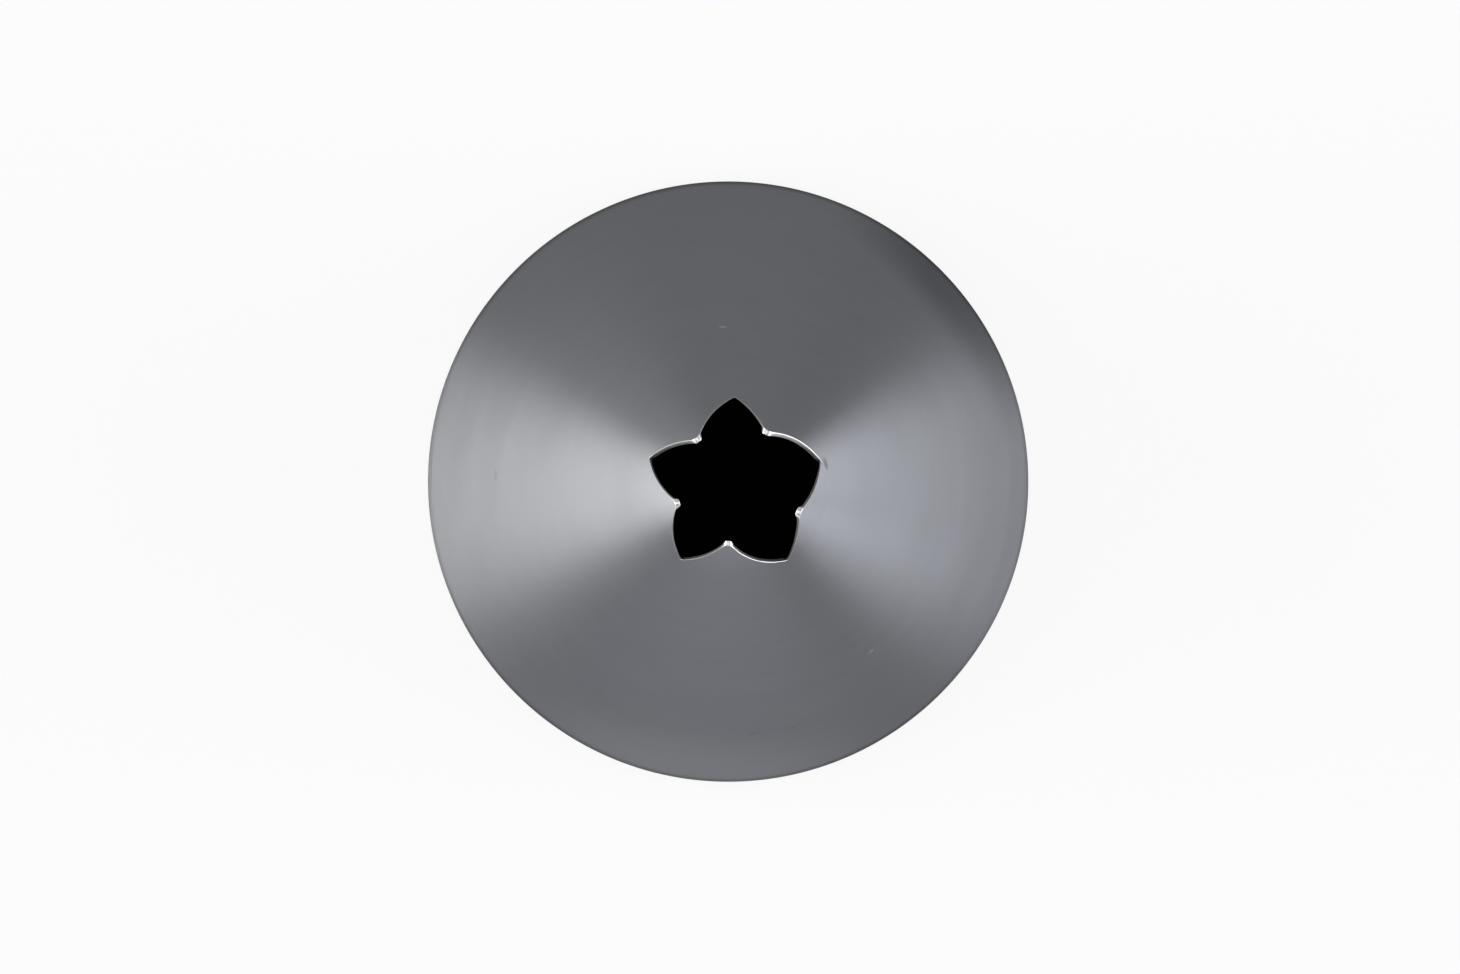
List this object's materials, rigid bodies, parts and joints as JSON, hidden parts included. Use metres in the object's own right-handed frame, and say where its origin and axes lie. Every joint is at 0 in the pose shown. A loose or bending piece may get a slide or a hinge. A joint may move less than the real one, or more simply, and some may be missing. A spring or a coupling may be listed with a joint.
{
  "type": "piping nozzle",
  "caption": "Tall conical piping nozzle of thin stainless sheet, with a star-shaped opening of pointed petals between short teeth curved inwards, and a folded base rim.",
  "frame": {"origin": "centre of the base rim, on the plane that the nozzle stands on", "axes": "+Z along the nozzle's axis towards its cut end; seen from above, +X is to the right of the picture and +Y is up"},
  "size_m": [0.033, 0.033, 0.05],
  "materials": {
    "stainless": "satin"
  },
  "bodies": {
    "root": {"nozzle_shell": "stainless"}
  },
  "joints": []
}
